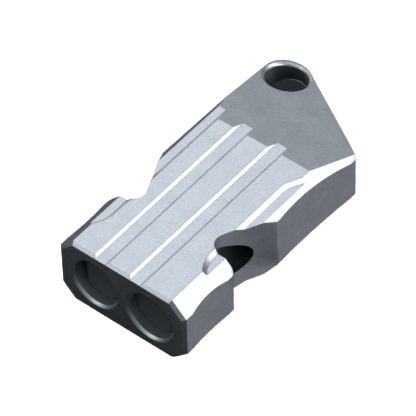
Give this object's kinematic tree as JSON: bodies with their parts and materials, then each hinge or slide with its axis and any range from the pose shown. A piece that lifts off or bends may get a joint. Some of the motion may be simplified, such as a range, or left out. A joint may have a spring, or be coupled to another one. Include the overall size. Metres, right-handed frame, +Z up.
{
  "type": "survival whistle",
  "caption": "Pealess twin-tube survival whistle: a milled metal block with a side window on each tube and a lanyard hole at its sloping end.",
  "frame": {"origin": "below the middle of the block's length and width, on the plane that the underside's flat lands rest on", "axes": "+Y along the tubes from the mouth face to the lanyard end, +X across to the side without the lanyard hole, +Z up through the lanyard hole"},
  "size_m": [0.021, 0.0468, 0.0113],
  "materials": {
    "body": "bead-blasted, with bright machined chamfers",
    "plug": "turned, dark"
  },
  "bodies": {
    "root": {"body": "body", "left_fipple_plug": "plug", "right_fipple_plug": "plug"}
  },
  "joints": []
}
